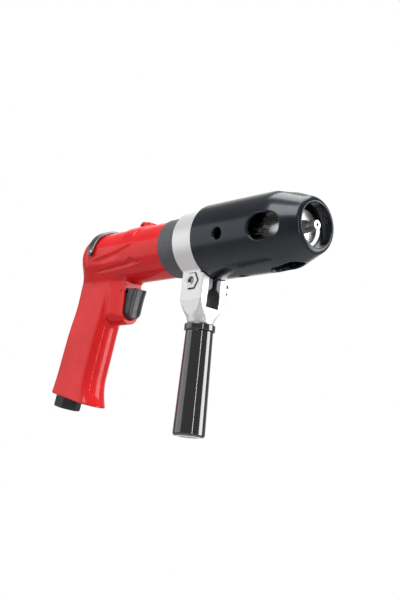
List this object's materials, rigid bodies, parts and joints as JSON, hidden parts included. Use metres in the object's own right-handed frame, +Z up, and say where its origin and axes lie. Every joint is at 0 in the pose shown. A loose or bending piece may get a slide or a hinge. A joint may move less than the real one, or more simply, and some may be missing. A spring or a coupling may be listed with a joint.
{
  "type": "pneumatic pistol drill",
  "caption": "Pistol-grip pneumatic drill with a guarded key chuck, a trigger, a reversing lever, a top hanging eye and a clamp-on side handle.",
  "frame": {"origin": "on the spindle axis at the tips of the closed chuck jaws, in the plane of the guard's nose", "axes": "+X along the spindle out of the nose, +Z up, the trigger and grip point to -Z, +Y is the operator's left"},
  "size_m": [0.3123, 0.066, 0.2019],
  "materials": {
    "housing_enamel": "gloss",
    "guard_black": "satin",
    "case_grey": "matte",
    "clamp_aluminium": "satin",
    "handle_black": "gloss",
    "lever_steel": "satin",
    "trigger_plastic": "satin",
    "bare_steel": "satin",
    "dark_steel": "satin",
    "bearing_steel": "polished",
    "oxide_steel": "satin",
    "zinc_bolt": "satin",
    "bronze": "matte",
    "seal_rubber": "matte",
    "vane_phenolic": "matte",
    "felt_grey": "matte"
  },
  "bodies": {
    "tool": {"housing": "housing_enamel", "chuck_guard": "guard_black", "guard_lock_screws": "dark_steel", "gear_case": "case_grey", "spindle_seal": "seal_rubber", "ring_gear": "bare_steel", "rear_end_plate": "bare_steel", "front_end_plate": "bare_steel", "motor_liner": "bare_steel", "roll_pin": "dark_steel", "throttle_bushing": "bronze", "throttle_seat": "seal_rubber", "throttle_spring_seat": "bronze", "throttle_spring": "bearing_steel", "inlet_bushing": "oxide_steel", "inlet_screen": "bronze", "exhaust_muffler": "felt_grey", "exhaust_cover": "oxide_steel", "rear_spindle_bearing_outer_race": "bearing_steel", "rear_spindle_bearing_balls": "bearing_steel", "front_spindle_bearing_outer_race": "bearing_steel", "front_spindle_bearing_balls": "bearing_steel", "rear_rotor_bearing_outer_race": "bearing_steel", "rear_rotor_bearing_balls": "bearing_steel", "front_rotor_bearing_outer_race": "bearing_steel", "front_rotor_bearing_balls": "bearing_steel"},
    "spindle": {"spindle": "bare_steel", "planet_pins": "bearing_steel", "chuck_body": "bare_steel", "chuck_screw": "dark_steel", "rear_spindle_bearing_inner_race": "bearing_steel", "front_spindle_bearing_inner_race": "bearing_steel"},
    "rotor": {"motor_rotor": "bare_steel", "rotor_vanes": "vane_phenolic", "sun_pinion": "bare_steel", "rear_rotor_bearing_inner_race": "bearing_steel", "front_rotor_bearing_inner_race": "bearing_steel"},
    "planet_1": {"planet_gear_1": "bare_steel"},
    "planet_2": {"planet_gear_2": "bare_steel"},
    "planet_3": {"planet_gear_3": "bare_steel"},
    "sleeve": {"chuck_sleeve": "dark_steel", "chuck_split_nut": "bare_steel"},
    "jaw_1": {"chuck_jaw_1": "bare_steel"},
    "jaw_2": {"chuck_jaw_2": "bare_steel"},
    "jaw_3": {"chuck_jaw_3": "bare_steel"},
    "lever": {"reverse_lever": "lever_steel", "reverse_pin": "dark_steel", "reverse_valve": "bronze"},
    "trigger": {"trigger": "trigger_plastic", "throttle_stem": "bearing_steel", "throttle_valve": "bronze"},
    "side_handle": {"clamp_casting": "clamp_aluminium", "clamp_nut": "zinc_bolt", "clamp_bolt": "dark_steel", "clamp_washer": "zinc_bolt", "handle_collar": "handle_black", "side_handle": "handle_black", "handle_stud": "dark_steel"}
  },
  "joints": [
    {"name": "spindle_spin", "type": "hinge", "parent": "tool", "child": "spindle", "pos_m": [-0.13, 0, 0], "axis": [1, 0, 0], "continuous": true},
    {"name": "rotor_spin", "type": "hinge", "parent": "tool", "child": "rotor", "pos_m": [-0.21, 0, 0], "axis": [1, 0, 0], "continuous": true},
    {"name": "planet_1_spin", "type": "hinge", "parent": "spindle", "child": "planet_1", "pos_m": [-0.159, 0, 0.0108], "axis": [1, 0, 0], "continuous": true},
    {"name": "planet_2_spin", "type": "hinge", "parent": "spindle", "child": "planet_2", "pos_m": [-0.159, -0.00935, -0.0054], "axis": [1, 0, 0], "continuous": true},
    {"name": "planet_3_spin", "type": "hinge", "parent": "spindle", "child": "planet_3", "pos_m": [-0.159, 0.00935, -0.0054], "axis": [1, 0, 0], "continuous": true},
    {"name": "chuck_sleeve_turn", "type": "hinge", "parent": "spindle", "child": "sleeve", "pos_m": [-0.066, 0, 0], "axis": [1, 0, 0], "range_deg": [0, 3600]},
    {"name": "jaw_1_slide", "type": "slide", "parent": "spindle", "child": "jaw_1", "axis": [-0.9848, -0.1086, 0.1355], "range_m": [0, 0.016]},
    {"name": "jaw_2_slide", "type": "slide", "parent": "spindle", "child": "jaw_2", "axis": [-0.9848, 0.1716, 0.0263], "range_m": [0, 0.016]},
    {"name": "jaw_3_slide", "type": "slide", "parent": "spindle", "child": "jaw_3", "axis": [-0.9848, -0.0631, -0.1618], "range_m": [0, 0.016]},
    {"name": "reverse_lever_turn", "type": "hinge", "parent": "tool", "child": "lever", "pos_m": [-0.2565, 0, 0], "axis": [1, 0, 0], "range_deg": [-20, 20]},
    {"name": "trigger_pull", "type": "slide", "parent": "tool", "child": "trigger", "axis": [-1, 0, 0], "range_m": [0, 0.005], "stiffness_N_per_m": 1500, "springref_m": -0.003, "deforming": ["throttle_spring"]},
    {"name": "side_handle_swivel", "type": "hinge", "parent": "tool", "child": "side_handle", "pos_m": [-0.1252, 0, 0], "axis": [1, 0, 0], "continuous": true}
  ],
  "couplings": [
    {"joint": "rotor_spin", "follows": "spindle_spin", "ratio": 4.5},
    {"joint": "planet_1_spin", "follows": "spindle_spin", "ratio": -2.8},
    {"joint": "planet_2_spin", "follows": "spindle_spin", "ratio": -2.8},
    {"joint": "planet_3_spin", "follows": "spindle_spin", "ratio": -2.8},
    {"joint": "jaw_1_slide", "follows": "chuck_sleeve_turn", "m_per_rad": 0.00025465},
    {"joint": "jaw_2_slide", "follows": "chuck_sleeve_turn", "m_per_rad": 0.00025465},
    {"joint": "jaw_3_slide", "follows": "chuck_sleeve_turn", "m_per_rad": 0.00025465}
  ]
}
